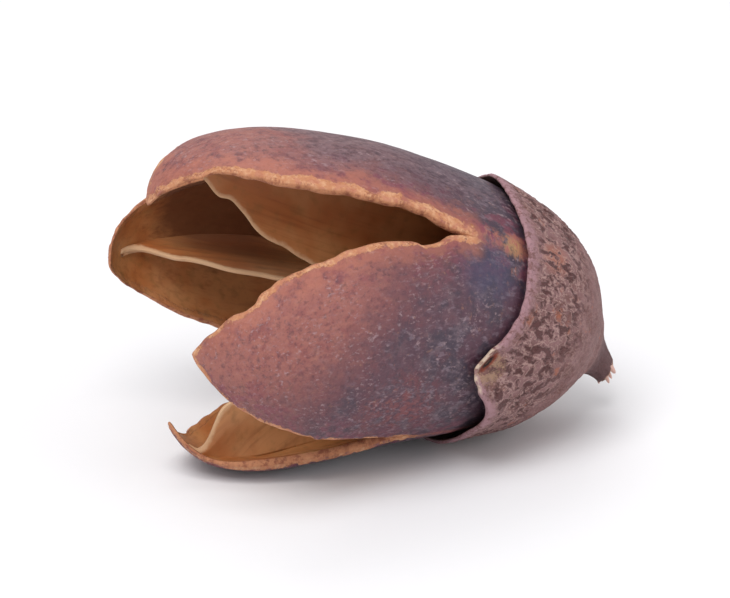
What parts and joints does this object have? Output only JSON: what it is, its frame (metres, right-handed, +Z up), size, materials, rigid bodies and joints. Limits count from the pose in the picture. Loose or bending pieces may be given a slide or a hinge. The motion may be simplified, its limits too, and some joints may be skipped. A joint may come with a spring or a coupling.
{
  "type": "dried seed pod",
  "caption": "Dried woody seed pod lying on its side, split from the tip into four valves with septa inside, its base held in a worn calyx cup with a broken stalk.",
  "frame": {"origin": "centre of the bounding box, at the surface that the pod lies on", "axes": "+X along the pod from its mouth to its stalk, -Y the side that the picture shows, +Z up"},
  "size_m": [0.0462, 0.0324, 0.0318],
  "materials": {
    "husk": "dry matt skin, dusty rose to slate violet, over a tan woody wall and an orange-brown lining",
    "calyx": "dry matt, wrinkled mauve brown with a paler net and rusty patches"
  },
  "bodies": {
    "root": {"capsule": "husk", "calyx": "calyx"}
  },
  "joints": []
}
